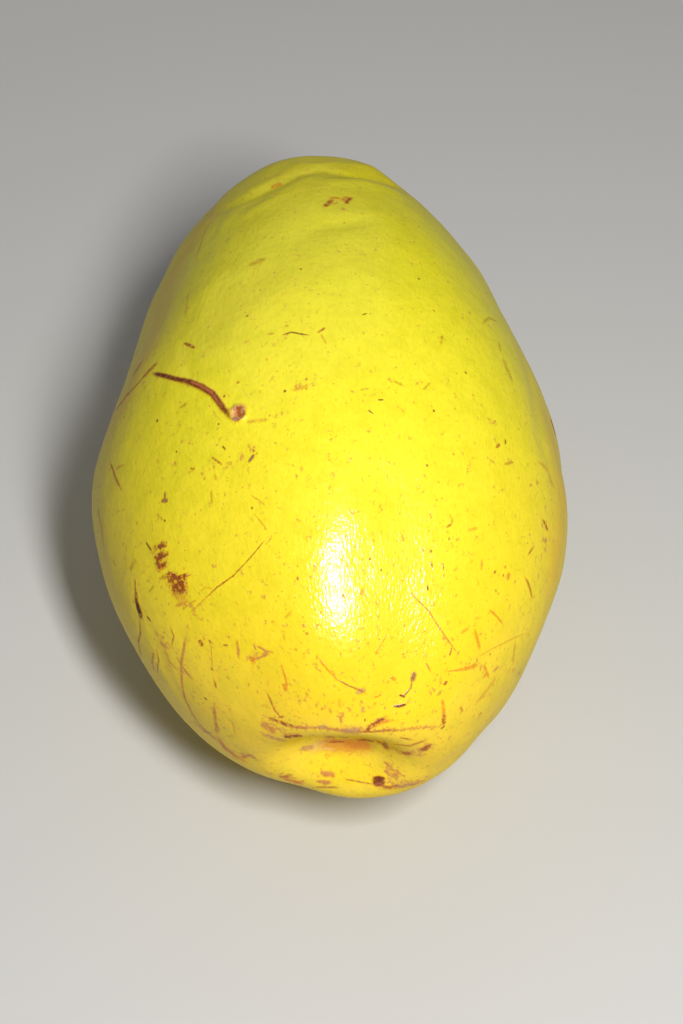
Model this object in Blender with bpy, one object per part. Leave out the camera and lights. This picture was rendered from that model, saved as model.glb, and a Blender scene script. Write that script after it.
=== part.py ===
"""Chinese quince, one whole ripe fruit lying on its side.

Units are metres and +Z is up. The fruit lies along Y: the broad calyx end with its basin
points to -Y and the narrower stem end to +Y. It rests on a small flat spot at Z = 0, and the
origin is the middle of the underside of its box.
"""
import math

import bmesh
import bpy
from mathutils import Vector

# Body of the fruit
HALF_LENGTH = 0.0685     # calyx pole to the middle
HEIGHT_SHARE = 0.97      # height of a cross-section against its width
# Sideways reach, steered at nine even steps from the calyx pole to the stem pole. The half width
# of a cross-section is this reach times the sine of the angle from the calyx pole.
REACH = (0.0279, 0.0381, 0.0437, 0.0453, 0.0455, 0.0418, 0.0428, 0.0535, 0.0564)
# Sideways drift of the core at the same nine steps, because the fruit grew slightly bent
DRIFT = (0.0044, 0.0055, 0.0018, 0.0015, 0.0000, 0.0009, -0.0024, -0.0021, -0.0015)
# Lobes: how many, the angle of a crest from the top towards +X in degrees, and their height at
# five even steps from pole to pole
LOBES = (
    (2, 1.0, (0.0003, 0.0007, 0.0005, 0.0023, 0.0013)),
    (3, 62.0, (0.0002, 0.0009, -0.0017, -0.0032, -0.0020)),
    (4, 1.0, (-0.0005, -0.0011, 0.0000, 0.0012, 0.0017)),
    (5, -2.0, (0.0006, 0.0026, -0.0011, -0.0004, 0.0010)),
)
LOBE_FADE = (-0.95, -0.25)   # cosine of the angle from the top where lobes start and are full

# Hollows of the two ends. A bowl is (X and Z of its middle, half width, half height, tilt that
# lifts its +X side, depth). The knob on its floor is (X and Z, radius, height).
BOWL_STEEPNESS = 2.6     # 2 gives a bell, more gives a flatter floor and a crisper rim
CALYX_BASIN = (0.0028, -0.0030, 0.0108, 0.0085, math.radians(9), 0.0100)
CALYX_SCAR = (0.0030, -0.0005, 0.0026, 0.0012)
STEM_HOLLOW = (-0.0022, 0.0000, 0.0095, 0.0085, 0.0, 0.0055)
STALK_STUB = (-0.0022, 0.0000, 0.0030, 0.0022)

# Relief along routes of (X, Y, Z) from the middle of the fruit: half width, height (below 0 for
# a furrow or dent) and the route, which is one point for a round swelling or dent
RELIEF = (
    # furrow before the rim of the stem end, the waist, the groove above the basin
    (0.0030, -0.0007, ((-0.019, 0.0365, 0.034), (-0.007, 0.0415, 0.038), (0.004, 0.0465, 0.034),
                       (0.013, 0.0520, 0.026))),
    (0.0070, -0.0005, ((-0.031, 0.0140, 0.024), (-0.024, 0.0010, 0.038), (-0.012, 0.0110, 0.045),
                       (-0.001, 0.0240, 0.043))),
    (0.0045, -0.0005, ((0.008, -0.0630, 0.014), (0.0075, -0.0565, 0.0225),
                       (0.0065, -0.0460, 0.0312))),
    # lower lip of the basin, the folds that run out beside it and the dents below them
    (0.0035, -0.0005, ((-0.007, -0.0590, -0.005), (-0.013, -0.0585, -0.008))),
    (0.0035, -0.0005, ((0.014, -0.0615, -0.003), (0.020, -0.0605, -0.008))),
    (0.0070, 0.0005, ((0.006, -0.0620, -0.014), (0.014, -0.0600, -0.015))),
    (0.0060, -0.0006, ((-0.005, -0.0585, -0.017),)),
    (0.0060, -0.0005, ((0.027, -0.0505, -0.014),)),
    # right side, calyx end to stem end
    (0.0060, -0.0008, ((0.040, -0.0300, -0.007), (0.037, -0.0370, -0.006))),
    (0.0080, -0.0005, ((0.044, -0.0020, 0.001),)),
    (0.0070, 0.0007, ((0.029, 0.0390, 0.014),)),
    (0.0060, -0.0008, ((0.017, 0.0560, 0.018),)),
    # top of the stem end
    (0.0060, 0.0006, ((0.006, 0.0580, 0.024), (-0.009, 0.0570, 0.026))),
    # left side, stem end to calyx end
    (0.0070, -0.0007, ((-0.024, 0.0540, 0.016),)),
    (0.0070, 0.0006, ((-0.035, 0.0370, 0.005),)),
    (0.0090, -0.0007, ((-0.041, 0.0090, 0.005), (-0.039, 0.0160, 0.007))),
)

# Resting spot
FLAT_DEPTH = 0.0010      # thickness of flesh pressed flat underneath

TINY = 1e-12             # keeps a route of one point from dividing by zero

# Fineness of the faceted skin
AROUND_STEPS = 64
POLE_TO_POLE_STEPS = 64

# Skin finish
SKIN_COLOUR = (0.80, 0.60, 0.03, 1.0)
SKIN_ROUGHNESS = 0.38


def steered(values, share):
    """Smooth curve (a uniform cubic B-spline) steered by evenly spaced values, level at its ends."""
    place = min(max(share, 0.0), 1.0) * (len(values) - 1)
    first = min(int(place), len(values) - 2)
    u = place - first
    padded = (values[1],) + values + (values[-2],)
    a, b, c, d = padded[first:first + 4]
    return ((1 - u) ** 3 * a + (3 * u ** 3 - 6 * u ** 2 + 4) * b
            + (-3 * u ** 3 + 3 * u ** 2 + 3 * u + 1) * c + u ** 3 * d) / 6


def smooth_step(low, high, value):
    """Even ramp from 0 at low to 1 at high."""
    share = min(max((value - low) / (high - low), 0.0), 1.0)
    return share * share * (3 - 2 * share)


def hump(distance, half_width):
    """Bell of height 1 that has died away at about twice its half width."""
    return math.exp(-(distance / half_width) ** 2)


def distance_to_route(point, route):
    """Shortest distance from a point to a chain of straight runs, or to a route of one point."""
    nearest = math.inf
    for start, end in zip(route, route[1:] or route):
        start, end = Vector(start), Vector(end)
        run = end - start
        share = (point - start).dot(run) / max(run.length_squared, TINY)
        nearest = min(nearest, (point - start - min(max(share, 0.0), 1.0) * run).length)
    return nearest


def lobed(turn, around):
    """Factor on the reach that gives the cross-section its gentle lobes."""
    fade = smooth_step(*LOBE_FADE, math.cos(around)) * math.sin(turn) ** 2
    swell = sum(steered(heights, turn / math.pi) * math.cos(count * (around - math.radians(crest)))
                for count, crest, heights in LOBES)
    return 1 + fade * swell / REACH[3]


def body_point(turn, around):
    """Point of the plain body: turn from the calyx pole, around from the top towards +X."""
    share = turn / math.pi
    half_width = math.sin(turn) * steered(REACH, share) * lobed(turn, around)
    return Vector((steered(DRIFT, share) + half_width * math.sin(around),
                   -HALF_LENGTH * math.cos(turn),
                   HEIGHT_SHARE * half_width * math.cos(around)))


def with_relief(point, outward):
    """Raise the swellings and press the furrows and dents into the body."""
    height = sum(height * hump(distance_to_route(point, route), half_width)
                 for half_width, height, route in RELIEF)
    return point + outward * height


def end_depth(point, bowl, knob):
    """How deep an end is sunk at a point, less the small knob that stands on its floor."""
    middle_x, middle_z, half_width, half_height, tilt, depth = bowl
    dx, dz = point.x - middle_x, point.z - middle_z
    across = (dx * math.cos(tilt) + dz * math.sin(tilt)) / half_width
    up = (dz * math.cos(tilt) - dx * math.sin(tilt)) / half_height
    knob_x, knob_z, knob_radius, knob_height = knob
    return (depth * math.exp(-math.hypot(across, up) ** BOWL_STEEPNESS)
            - knob_height * hump(math.hypot(point.x - knob_x, point.z - knob_z), knob_radius))


def fruit_point(direction):
    """Point of the skin that a direction of the unit sphere stands for."""
    turn = math.acos(min(max(-direction.y, -1.0), 1.0))
    around = math.atan2(direction.x, direction.z)
    point = with_relief(body_point(turn, around), direction)
    if direction.y < 0:
        point.y += end_depth(point, CALYX_BASIN, CALYX_SCAR)
    else:
        point.y -= end_depth(point, STEM_HOLLOW, STALK_STUB)
    return point


def settle(points):
    """Press the resting spot flat and move the box's underside to the origin."""
    floor = min(point.z for point in points) + FLAT_DEPTH
    middle = [(min(p[axis] for p in points) + max(p[axis] for p in points)) / 2 for axis in (0, 1)]
    return [Vector((p.x - middle[0], p.y - middle[1], max(p.z - floor, 0.0))) for p in points]


def make_skin_material():
    material = bpy.data.materials.new("quince_skin")
    material.use_nodes = True
    shader = material.node_tree.nodes["Principled BSDF"]
    shader.inputs["Base Color"].default_value = SKIN_COLOUR
    shader.inputs["Roughness"].default_value = SKIN_ROUGHNESS
    shader.inputs["Metallic"].default_value = 0.0
    material.diffuse_color = SKIN_COLOUR
    return material


def make_fruit(collection):
    """The whole fruit as one solid, shaped from a UV sphere with its poles at the two ends."""
    bm = bmesh.new()
    bmesh.ops.create_uvsphere(bm, u_segments=AROUND_STEPS, v_segments=POLE_TO_POLE_STEPS,
                              radius=1.0)
    directions = [Vector((v.co.x, v.co.z, -v.co.y)).normalized() for v in bm.verts]
    for vertex, place in zip(bm.verts, settle([fruit_point(d) for d in directions])):
        vertex.co = place
    bmesh.ops.triangulate(bm, faces=bm.faces[:])
    mesh = bpy.data.meshes.new("fruit")
    bm.to_mesh(mesh)
    bm.free()
    mesh.shade_smooth()
    mesh.materials.append(make_skin_material())
    fruit = bpy.data.objects.new("fruit", mesh)
    collection.objects.link(fruit)
    return fruit


def clear_scene():
    for thing in list(bpy.data.objects):
        bpy.data.objects.remove(thing, do_unlink=True)


def main():
    clear_scene()
    collection = bpy.data.collections.new("chinese_quince")
    bpy.context.scene.collection.children.link(collection)
    make_fruit(collection)


main()
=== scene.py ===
"""Looks of the Chinese quince: its fine skin with every mark, the floor, the light and the camera.

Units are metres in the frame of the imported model: the fruit lies along Y with its calyx basin at
-Y and the stem hollow at +Y, and rests on the plane Z = 0. The skin is a net of directions, and
a formula, the one that shapes the solid, turns each direction into a point of the skin.
"""
import math
from collections import namedtuple
from operator import itemgetter

import bmesh
import bpy
import numpy as np
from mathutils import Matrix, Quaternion, Vector, kdtree, noise
from mathutils.bvhtree import BVHTree


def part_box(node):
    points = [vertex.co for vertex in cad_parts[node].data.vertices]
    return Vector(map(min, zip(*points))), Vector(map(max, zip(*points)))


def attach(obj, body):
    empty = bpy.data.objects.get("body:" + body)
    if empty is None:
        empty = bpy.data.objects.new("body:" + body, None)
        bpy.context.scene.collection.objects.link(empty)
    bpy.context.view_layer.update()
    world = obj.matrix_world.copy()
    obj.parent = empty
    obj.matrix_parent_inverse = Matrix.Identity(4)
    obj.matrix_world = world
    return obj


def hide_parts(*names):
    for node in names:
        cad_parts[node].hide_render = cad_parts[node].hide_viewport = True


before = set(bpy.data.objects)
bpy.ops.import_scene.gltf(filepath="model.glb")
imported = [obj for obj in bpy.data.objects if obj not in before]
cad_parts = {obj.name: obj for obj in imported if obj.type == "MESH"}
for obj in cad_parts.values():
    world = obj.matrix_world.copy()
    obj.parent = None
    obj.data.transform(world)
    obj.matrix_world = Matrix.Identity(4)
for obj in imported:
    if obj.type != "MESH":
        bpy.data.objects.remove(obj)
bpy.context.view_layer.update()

MM = 0.001

# Body of the fruit, as in the solid: half its length, height against width, then its sideways
# reach and drift at nine even steps from the calyx pole to the stem pole
HALF_LENGTH = 0.0685
HEIGHT_SHARE = 0.97
REACH = (0.0279, 0.0381, 0.0437, 0.0453, 0.0455, 0.0418, 0.0428, 0.0535, 0.0564)
DRIFT = (0.0044, 0.0055, 0.0018, 0.0015, 0.0000, 0.0009, -0.0024, -0.0021, -0.0015)
# Lobes: how many, angle of a crest from the top in degrees, height at five steps pole to pole
LOBES = (
    (2, 1.0, (0.0003, 0.0007, 0.0005, 0.0023, 0.0013)),
    (3, 62.0, (0.0002, 0.0009, -0.0017, -0.0032, -0.0020)),
    (4, 1.0, (-0.0005, -0.0011, 0.0000, 0.0012, 0.0017)),
    (5, -2.0, (0.0006, 0.0026, -0.0011, -0.0004, 0.0010)),
)
LOBE_FADE = (-0.95, -0.25)
# Ends: a bowl is (X, Z, half width, half height, tilt, depth), a knob (X, Z, radius, height)
BOWL_STEEPNESS = 2.6
CALYX_BASIN = (0.0028, -0.0030, 0.0108, 0.0085, math.radians(9), 0.0100)
CALYX_SCAR = (0.0030, 0.0018, 0.0021, 0.0012)
STEM_HOLLOW = (-0.0022, 0.0000, 0.0095, 0.0085, 0.0, 0.0055)
STALK_STUB = (-0.0022, 0.0000, 0.0030, 0.0022)
# Relief of the solid: half width, height and route from the middle of the fruit
RELIEF = (
    (0.0030, -0.0007, ((-0.019, 0.0365, 0.034), (-0.007, 0.0415, 0.038), (0.004, 0.0465, 0.034),
                       (0.013, 0.0520, 0.026))),
    (0.0070, -0.0005, ((-0.031, 0.0140, 0.024), (-0.024, 0.0010, 0.038), (-0.012, 0.0110, 0.045),
                       (-0.001, 0.0240, 0.043))),
    (0.0045, -0.0005, ((0.008, -0.0630, 0.014), (0.0075, -0.0565, 0.0225),
                       (0.0065, -0.0460, 0.0312))),
    (0.0035, -0.0005, ((-0.007, -0.0590, -0.005), (-0.013, -0.0585, -0.008))),
    (0.0035, -0.0005, ((0.014, -0.0615, -0.003), (0.020, -0.0605, -0.008))),
    (0.0070, 0.0005, ((0.006, -0.0620, -0.014), (0.014, -0.0600, -0.015))),
    (0.0060, -0.0006, ((-0.005, -0.0585, -0.017),)),
    (0.0060, -0.0005, ((0.027, -0.0505, -0.014),)),
    (0.0060, -0.0008, ((0.040, -0.0300, -0.007), (0.037, -0.0370, -0.006))),
    (0.0080, -0.0005, ((0.044, -0.0020, 0.001),)),
    (0.0070, 0.0007, ((0.029, 0.0390, 0.014),)),
    (0.0060, -0.0008, ((0.017, 0.0560, 0.018),)),
    (0.0060, 0.0006, ((0.006, 0.0580, 0.024), (-0.009, 0.0570, 0.026))),
    (0.0070, -0.0007, ((-0.024, 0.0540, 0.016),)),
    (0.0070, 0.0006, ((-0.035, 0.0370, 0.005),)),
    (0.0090, -0.0007, ((-0.041, 0.0090, 0.005), (-0.039, 0.0160, 0.007))),
)
FLAT_DEPTH = 0.0010
TINY = 1e-12

# Net of the skin: steps around and from pole to pole, how much closer its rings lie at the poles,
# and how near to a raised mark each round of splitting reaches
AROUND_STEPS = 224
POLE_TO_POLE_STEPS = 236
POLE_CLOSENESS = 0.35
SPLIT_REACHES = (3.6 * MM, 2.4 * MM, 1.5 * MM)

# Gentle lumps of the skin: their size and height
LUMPS = ((17.0 * MM, 0.22 * MM), (8.0 * MM, 0.14 * MM), (3.4 * MM, 0.055 * MM))

# Camera, at the photograph's angle: the point that it looks at, from the middle of the fruit
PICTURE_SIZE = (683, 1024)
AIM = (0.0026, -0.0095, 0.0)
ELEVATION = math.radians(50)
DISTANCE = 0.4626
SENSOR_HEIGHT = 36.0
LENS = 88.0

# Key light beside the lens, a soft light above and behind, even fill, and the pale floor
KEY_RIGHT = 0.084
KEY_UP = 0.030
KEY_SIZE = (0.05, 0.13)
KEY_WATTS = 2.46
TOP_PLACE = (-0.14, 0.46, 0.42)
TOP_SIZE = (0.80, 0.80)
TOP_WATTS = 0.75
FILL_STRENGTH = 0.09
FLOOR_SIZE = 4.0
FLOOR_COLOUR = (0.60, 0.59, 0.57, 1.0)
FLOOR_ROUGHNESS = 0.8

# Pixels of the photograph: the middle of the fruit, the step at which a route is followed, and the
# share of the way to the middle by which a pixel off the fruit is pulled in, again and again
FRUIT_PIXEL = (330, 480)
ROUTE_STEP_PIXELS = 5
PULL_STEP = 0.01
# Least share of its true width that a slanting mark is taken to show
SLIMMEST = 0.35

# Kinds of mark: colour, strength and raggedness of its outline
KINDS = {
    "bark": ((0.175, 0.032, 0.005), 1.00, 0.15),
    "flesh": ((0.480, 0.130, 0.040), 0.95, 0.45),
    "rust": ((0.360, 0.085, 0.008), 0.95, 0.60),
    "scab": ((0.300, 0.072, 0.008), 0.95, 0.95),
    "brown": ((0.400, 0.135, 0.010), 0.80, 0.50),
    "dark": ((0.150, 0.075, 0.004), 0.85, 0.35),
    # The kind after this comment is a painted highlight: a pale colour that stands for glints on the lit
    # lower wall of the calyx basin
    "painted_glint": ((0.900, 0.620, 0.180), 0.60, 0.60),
    "olive": ((0.460, 0.330, 0.010), 0.60, 0.60),
    "tan": ((0.640, 0.340, 0.020), 0.60, 0.60),
    "orange": ((0.720, 0.250, 0.010), 0.75, 0.55),
    "pink": ((0.560, 0.220, 0.055), 0.80, 0.50),
    "ash": ((0.480, 0.270, 0.110), 0.80, 0.65),
    "cork": ((0.600, 0.320, 0.190), 0.92, 0.35),
    "plum": ((0.260, 0.110, 0.050), 0.90, 0.35),
    "blush": ((0.860, 0.330, 0.020), 0.85, 0.45),
    "soot": ((0.060, 0.018, 0.004), 1.00, 0.35),
}
# Marks that the photograph shows, by kind: half width in millimetres and the pixels of a route
SEEN_MARKS = {
    "bark": (
        (0.50, (154, 373.5), (165, 376), (176, 379), (190, 381.5)),
        (0.66, (180, 380), (190, 382), (202, 387), (213, 394), (219, 402), (224, 409), (231, 417)),
        (0.42, (552, 424), (554, 431)), (0.22, (402, 697.5), (405.6, 699)),
        (0.24, (396, 708), (401, 708), (406.5, 706.4)), (0.84, (377, 782.4), (380.6, 781.8)),
        (0.40, (374.8, 778.6), (379, 778), (383, 778.4)),
    ),
    "flesh": (
        (0.30, (187, 380.6), (200, 385.4), (211.5, 392.6), (217, 400.5), (223, 408.4)),
        (0.50, (377.4, 785), (380.4, 784.6)),
    ),
    "cork": (
        (1.36, (238.3, 413.2)),
    ),
    "rust": (
        (1.02, (240.3, 411.8)), (0.34, (184.5, 342.8), (193.5, 347)), (0.52, (325.8, 206.5), (331, 201)),
        (0.44, (346.3, 203.5), (351, 198)), (0.26, (544, 521.3), (546, 525), (548, 529.6)),
        (0.28, (447.2, 682)), (0.34, (519.3, 673.7)), (0.42, (201, 643)),
        (0.40, (444.2, 717), (443.8, 723)), (0.24, (443, 727.4)),
        (0.24, (359, 741), (366, 740), (372, 741.5)), (0.20, (330, 743), (338, 742.4), (345, 742.8)),
        (0.42, (378, 741), (384, 743.5), (386, 747.5)), (0.45, (405, 753), (409, 752.4)),
        (0.50, (424, 749), (428, 746)), (0.26, (384, 787), (391, 787.4), (396, 786)),
    ),
    "plum": (
        (0.42, (234, 418.6), (238, 420)), (0.28, (249.2, 461), (253.4, 455.4)),
        (0.42, (163.2, 500.6), (166.8, 500.6)), (0.18, (165, 492.7), (165, 499)),
        (0.46, (416.3, 675.6), (415, 681)), (0.16, (414, 684), (413.4, 689), (410.6, 693), (404.8, 699)),
    ),
    "tan": (
        (0.30, (250, 421.5), (266, 419.5)), (0.22, (189, 292), (185, 316)),
        (0.28, (197, 257), (206, 230), (210, 223)), (0.25, (215, 475.7), (217, 479.4)),
        (0.30, (249, 445.6)), (0.22, (321.8, 335.3), (325.7, 343)),
        (0.30, (295, 389.5), (301, 388.4), (306.5, 386.3)),
        (0.14, (251, 495.5), (257, 499), (264, 504.4)), (0.14, (255, 514.6), (260, 521), (266.6, 528.7)),
        (0.24, (472.9, 395.3)), (0.34, (540, 463.6), (545, 467.5), (548, 471), (550.4, 480), (554, 487)),
        (0.28, (468.9, 530.2), (475.9, 528.3)), (0.22, (481.6, 561.5), (481, 568.5)),
        (0.13, (476.5, 657.8), (488, 651.4), (494.4, 647.6), (512.2, 638.6), (525, 632.9)),
        (0.24, (494.4, 679.4), (486, 691), (476.5, 702.4)), (0.30, (116.8, 468.6), (123.9, 465)),
        (0.42, (98, 511), (102, 529), (103.5, 543)), (0.55, (174, 595), (180, 598.5), (186, 598)),
        (0.28, (177, 605.5), (184, 603)), (0.18, (207.4, 596.5), (198.4, 605.5), (190.8, 611.5)),
        (0.16, (201, 590.8), (205.4, 587), (212.4, 588.9)),
        (0.20, (184.4, 608), (190, 603.5), (196, 600.4)), (0.20, (166, 652), (170, 662), (176, 668)),
        (0.16, (177.4, 657.8), (181.8, 665.4)), (0.24, (160.8, 640), (164, 646), (168, 642)),
        (0.12, (211, 644), (212, 656), (212.4, 668)), (0.24, (259.6, 668)),
        (0.20, (316, 665.8), (322, 670.7)), (0.26, (292, 611.6), (287, 616.7)),
        (0.20, (339.3, 699), (339.8, 706)), (0.18, (386.5, 635.8), (381, 645), (375.6, 653.7)),
        (0.18, (400, 731.2), (416, 728.6), (430, 727), (439, 727)), (0.22, (232, 722), (235, 734)),
        (0.50, (236, 757), (243, 760)), (0.30, (383, 788.5), (396, 788.2)),
        (0.30, (326, 756), (330, 756)),
    ),
    "brown": (
        (0.30, (147, 373.5), (136, 386), (126, 395), (115, 410), (111, 420)),
        (0.44, (155, 365), (145, 375.5)), (0.40, (141, 363), (134, 373)), (0.24, (238.3, 382.5)),
        (0.24, (247.5, 316)), (0.22, (213, 457.8), (216, 460.2)), (0.22, (217.6, 461.2), (221.4, 464.2)),
        (0.20, (191.5, 468.6), (194.5, 469.2)), (0.26, (253.6, 450.7)),
        (0.24, (318.6, 332), (323.8, 328.3)), (0.24, (306.5, 379.3)), (0.20, (306.3, 388.9)),
        (0.24, (301, 269)), (0.26, (418.9, 278.6)), (0.28, (497, 447), (499.6, 444.4)),
        (0.22, (427.6, 464.7)), (0.20, (533.3, 546.8), (528.2, 554.4)),
        (0.22, (525, 578.7), (527.5, 583.5), (528.8, 587.6), (530.7, 596.5)),
        (0.20, (452.3, 520.6), (451, 524.5), (447.2, 527)), (0.20, (433, 562.4), (433.6, 566.6)),
        (0.20, (443.6, 564), (444.2, 568)), (0.20, (503, 575.4)), (0.24, (494.4, 572.3)),
        (0.16, (452.3, 648.8), (451, 655)), (0.24, (460.6, 707.5), (462.5, 711.3)),
        (0.34, (480.4, 713.9)), (0.32, (110.5, 463), (113, 470), (116, 479), (121, 489)),
        (0.30, (101.6, 449)), (0.14, (135.3, 580), (135.6, 588), (136.6, 596.5)),
        (0.26, (140, 620), (141, 632), (139, 642), (142, 655)), (0.22, (113.6, 561), (114.2, 565)),
        (0.12, (266, 539), (254.5, 553), (244, 564.6), (233, 576), (217.6, 587)),
        (0.15, (233, 576), (217.6, 587), (207.4, 596.5)), (0.16, (157, 650), (159.5, 660), (158, 672)),
        (0.14, (171, 628), (174, 636), (172, 645)), (0.24, (210.5, 641.8)), (0.20, (211.8, 669)),
        (0.20, (214, 680.7), (215.8, 687.3)), (0.20, (224.4, 645), (227.4, 645)),
        (0.18, (268, 694), (272, 703), (275, 710), (280.5, 716.4)), (0.18, (279, 717.5), (284, 716)),
        (0.16, (337.6, 679), (349.3, 685.7), (359.2, 689.8), (366, 694)), (0.24, (298.5, 579.7)),
        (0.20, (357, 732), (372, 732.6), (386, 731.3), (400, 731.2)), (0.24, (408, 739.5)),
        (0.18, (395, 744.5), (410, 746), (424, 741)), (0.42, (284.6, 776.5)),
        (0.18, (316, 787.6), (337.6, 787.8)), (0.16, (345.9, 779.4), (358, 781.5), (372.5, 784.3)),
    ),
    "dark": (
        (0.28, (157, 420.5)), (0.20, (176.6, 451.6)), (0.20, (224, 396)), (0.20, (218.5, 424)),
        (0.20, (223, 446.7), (225, 449.2)),
        (0.15, (283.6, 334.7), (289, 333), (295, 332.8), (302, 334), (307.8, 334.7)),
        (0.26, (284.8, 390.8)), (0.18, (379, 400.3), (382.5, 400)),
        (0.16, (368.4, 410.6), (372.2, 413.6)), (0.15, (363, 314.5), (366, 313.5)),
        (0.22, (251.9, 507.6)), (0.26, (465.4, 372.9)), (0.22, (433.9, 410.8)),
        (0.24, (505.6, 440.2), (505.8, 443.4)), (0.20, (449.7, 537.9)), (0.20, (433.2, 549)),
        (0.18, (429.3, 586.6), (429.5, 589.6)), (0.18, (370.5, 556.7)), (0.16, (382, 567)),
        (0.20, (165.4, 521)), (0.20, (146.3, 543), (148.9, 546.7), (151.6, 550.3)),
        (0.28, (136.6, 594.5), (137.4, 602)), (0.20, (147.4, 617), (150.6, 620.8)),
        (0.20, (205.4, 698.6)), (0.14, (365.6, 718.5)),
    ),
    "olive": (
        (0.24, (180, 407), (185, 404)), (0.25, (124, 416.5)), (0.22, (175.7, 472.6)), (0.25, (205, 479)),
        (0.20, (256.8, 453.3)), (0.28, (269, 334), (273, 334)), (0.30, (286.8, 325.7)),
        (0.22, (276.6, 414.4)), (0.18, (360.7, 390.2), (367.8, 388.9)),
        (0.20, (393.9, 381.2), (402.2, 385.7)), (0.18, (330, 440.2), (332, 439)), (0.22, (318.4, 294.4)),
        (0.26, (260, 264)), (0.36, (253, 264), (262, 260)), (0.28, (433.9, 310.9)),
        (0.26, (442.5, 336), (440.6, 343.6)),
        (0.32, (483.2, 323.5), (486, 320), (489.5, 318.4), (496.4, 321.2)),
        (0.34, (498.5, 343), (500, 350)), (0.34, (504.5, 362), (507, 369), (510.8, 378)),
        (0.22, (456.3, 373.5)), (0.22, (429.3, 383.8), (423.5, 389.5)), (0.20, (455, 408.5)),
        (0.24, (495.3, 421.1)), (0.22, (453.4, 454.4)), (0.24, (504.5, 464.2), (513, 462.4)),
        (0.20, (435.7, 602.3)), (0.30, (441.5, 692.2)),
        (0.22, (514.8, 643.7), (513.6, 652), (512.9, 661.6)), (0.28, (136.9, 523)),
        (0.20, (158, 514.5), (163, 519.5)), (0.20, (211.4, 491.8), (212.3, 502.5)), (0.28, (123, 543.6)),
        (0.45, (131, 568.5), (134.6, 562)), (0.20, (149.3, 591.4), (153.8, 586.3)), (0.22, (285, 565)),
        (0.22, (308.6, 696.4)), (0.22, (198.4, 704)), (0.22, (201, 685)), (0.22, (227.8, 677.5)),
    ),
    "orange": (
        (0.55, (332, 198), (337, 198.5)), (0.50, (343, 200), (347, 197.5)),
        (0.70, (274, 185), (278, 183.5)), (0.24, (504.6, 567.2)), (0.28, (508.4, 574), (508, 578.4)),
        (0.20, (490.6, 610.6), (495.7, 615.7), (502, 623.3)), (0.26, (467.6, 629), (463.1, 632.2)),
        (0.28, (475.9, 632.2), (477.8, 639.9), (479.7, 647.6)), (0.15, (448.5, 671.8), (460, 669.9)),
        (0.34, (460, 669.9), (468, 668), (476.5, 665.4)),
        (0.24, (484.2, 666.7), (486.7, 673), (483.5, 676.9)), (0.42, (253.9, 661)),
        (0.20, (282.6, 665.4), (286.4, 676.9), (287.7, 685.8)), (0.36, (286.6, 688.4)),
        (0.20, (320, 658), (325, 665), (330, 671), (337.6, 679)), (0.28, (306, 656)),
        (0.30, (393, 679), (395.7, 681)), (0.30, (399.3, 679.4)), (0.26, (401.5, 690.6)),
        (0.24, (376, 698.3), (380.6, 696.3)), (0.22, (409, 666.6)), (0.26, (443, 701.4), (443.6, 704)),
        (0.32, (443.8, 707), (443.6, 715)), (0.26, (376, 727), (383, 723.5), (390, 722)),
        (0.75, (349, 744.5), (356, 745.5), (365, 745)), (0.34, (288, 779.5), (297.8, 782.7)),
    ),
    "ash": (
        (0.45, (546.7, 539.8)), (0.55, (359, 691.5), (363, 691)), (0.50, (320.5, 726.8), (324.5, 726.3)),
        (0.60, (346.5, 731.3), (356, 731.3)), (0.40, (266.5, 736), (275, 738.4), (284, 740.6)),
        (0.45, (327, 738), (332, 738)), (0.30, (203.3, 731), (210, 733.3)), (0.30, (363.4, 708)),
        (0.45, (303, 749), (311, 748)), (0.42, (384, 741.5), (386, 746)),
        (0.34, (397, 786), (406, 785), (416, 782.7)),
    ),
    "pink": (
        (0.13, (410.7, 591), (420.9, 601.4), (431, 611.6), (437.5, 623), (450, 642), (458, 653)),
        (0.16, (426, 655), (428.5, 664), (432.2, 672.4)),
        (0.26, (154.4, 654), (153, 663), (154.4, 670.5)),
        (0.30, (185.7, 638.6), (183.8, 648.8), (181.8, 660.3), (181.6, 673), (182.5, 686)),
        (0.28, (182.5, 686), (185, 698.6), (190.8, 711.3), (196, 720), (205, 731)),
        (0.20, (183.8, 668.6), (187, 673), (191.4, 678)),
        (0.22, (237.3, 642.4), (239, 649), (239.2, 656.5)), (0.18, (254.5, 643.7), (256.5, 649)),
        (0.22, (258.5, 646), (262, 647.5), (267.3, 650.7), (273, 651.4)),
        (0.22, (267, 654), (259.6, 657.8), (253, 660)), (0.26, (305.5, 629.4)), (0.28, (343, 597)),
        (0.24, (294, 725.6), (303, 727), (316, 727.2)), (0.22, (326, 727.5), (337, 729.6), (346, 731)),
        (0.52, (265, 726), (271.3, 731)), (0.34, (214, 706.4), (215, 716.3), (216.8, 733)),
        (0.40, (219.5, 739.6), (226.5, 749.5), (236, 755.5)), (0.26, (341, 719.7)),
        (0.34, (243, 756.5), (250, 755)), (0.50, (324, 774), (332, 774.6)),
        (0.42, (394, 775.5), (398, 772.5)), (0.34, (386.5, 763.6)), (0.34, (387.4, 772.7)),
        (0.34, (318, 782), (330, 783)),
    ),
    "scab": (
        (0.62, (156.5, 548.5), (164.5, 544.8)), (0.62, (157, 557.5), (166.5, 553.5)),
        (0.90, (158.6, 559.5), (159.5, 565)), (0.50, (160, 567.5), (165.6, 563.6)),
        (0.46, (163, 577.5), (170, 574.5), (178, 577.5), (187, 575.5)),
        (1.30, (172.5, 581.5), (180.5, 582.5)), (0.95, (174.5, 588.5), (183.5, 588.5)),
        (0.30, (271, 718.8), (278, 721.5), (288, 724.6), (294, 725.6)),
        (0.36, (367.5, 730.4), (371, 726.5), (375.8, 723.4), (384, 719.7)),
        (0.52, (288, 736.5), (298, 735.5)),
    ),
    "soot": (
        (0.34, (137.2, 602), (138.8, 608), (141.4, 615.5)), (0.52, (138.6, 605.5), (140, 611)),
    ),
    "blush": (
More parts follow.
